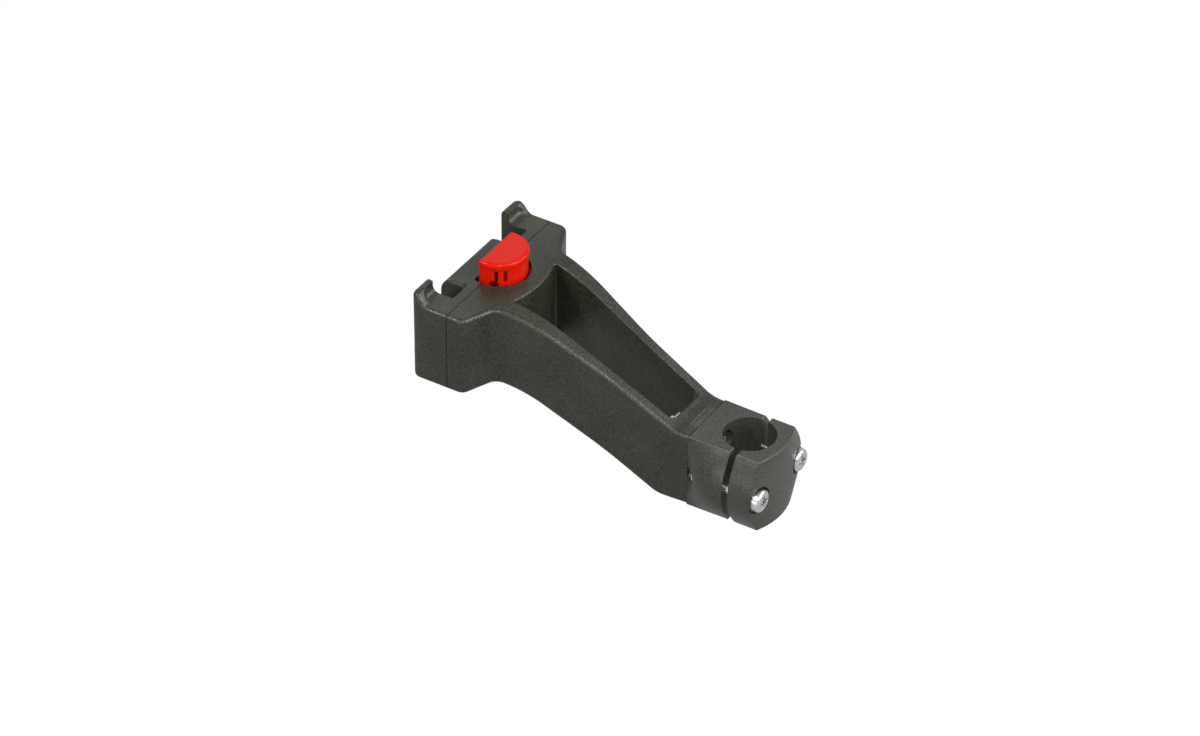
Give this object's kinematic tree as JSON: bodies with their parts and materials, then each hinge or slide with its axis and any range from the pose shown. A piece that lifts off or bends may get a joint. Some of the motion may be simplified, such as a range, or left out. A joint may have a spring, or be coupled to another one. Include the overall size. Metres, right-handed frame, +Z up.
{
  "type": "handlebar bag mount",
  "caption": "Handlebar bag mount: a rail head with a push-button release on a hollow arm that drops to a split clamp for a round stem or steerer tube.",
  "frame": {"origin": "middle of the clamp bore, on its axis at half its height", "axes": "+X from the bag head towards the clamp's front, +Z up along the clamp bore, and +Y to the left seen from the clamp looking at the bag head's back"},
  "size_m": [0.1767, 0.0914, 0.0936],
  "materials": {
    "body_plastic": "fine-grained moulded black",
    "button_plastic": "satin red",
    "spring_steel": "drawn wire",
    "zinc_steel": "bright zinc plated",
    "dark_steel": "black coated",
    "bush_brass": "turned"
  },
  "bodies": {
    "mount_body": {"arm_body": "body_plastic", "rail_head": "body_plastic", "clamp_inner_jaw": "body_plastic", "button_spring": "spring_steel", "fixing_screw_upper": "zinc_steel", "fixing_screw_lower": "zinc_steel", "fixing_washer_upper": "zinc_steel", "fixing_washer_lower": "zinc_steel", "fixing_nut_upper": "zinc_steel", "fixing_nut_lower": "zinc_steel", "head_screw_1": "dark_steel", "head_screw_2": "dark_steel", "head_screw_3": "dark_steel", "head_screw_4": "dark_steel", "threaded_bush_left": "bush_brass", "threaded_bush_right": "bush_brass"},
    "release_button": {"release_button": "button_plastic"},
    "outer_jaw": {"clamp_outer_jaw": "body_plastic", "clamp_washer_left": "dark_steel", "clamp_washer_right": "dark_steel"},
    "left_screw": {"clamp_screw_left": "zinc_steel"},
    "right_screw": {"clamp_screw_right": "zinc_steel"}
  },
  "joints": [
    {"name": "button_press", "type": "slide", "parent": "mount_body", "child": "release_button", "axis": [0, 0, -1], "range_m": [0, 0.008], "stiffness_N_per_m": 600, "springref_m": -0.008, "deforming": ["button_spring"]},
    {"name": "jaw_close", "type": "slide", "parent": "mount_body", "child": "outer_jaw", "axis": [-1, 0, 0], "range_m": [0, 0.003]},
    {"name": "left_screw_turn", "type": "hinge", "parent": "outer_jaw", "child": "left_screw", "pos_m": [0, -0.018, 0], "axis": [-1, 0, 0], "range_deg": [0, 1080]},
    {"name": "right_screw_turn", "type": "hinge", "parent": "outer_jaw", "child": "right_screw", "pos_m": [0, 0.018, 0], "axis": [-1, 0, 0], "range_deg": [0, 1080]}
  ],
  "couplings": [
    {"joint": "left_screw_turn", "follows": "jaw_close", "rad_per_m": 6283.2},
    {"joint": "right_screw_turn", "follows": "jaw_close", "rad_per_m": 6283.2}
  ]
}
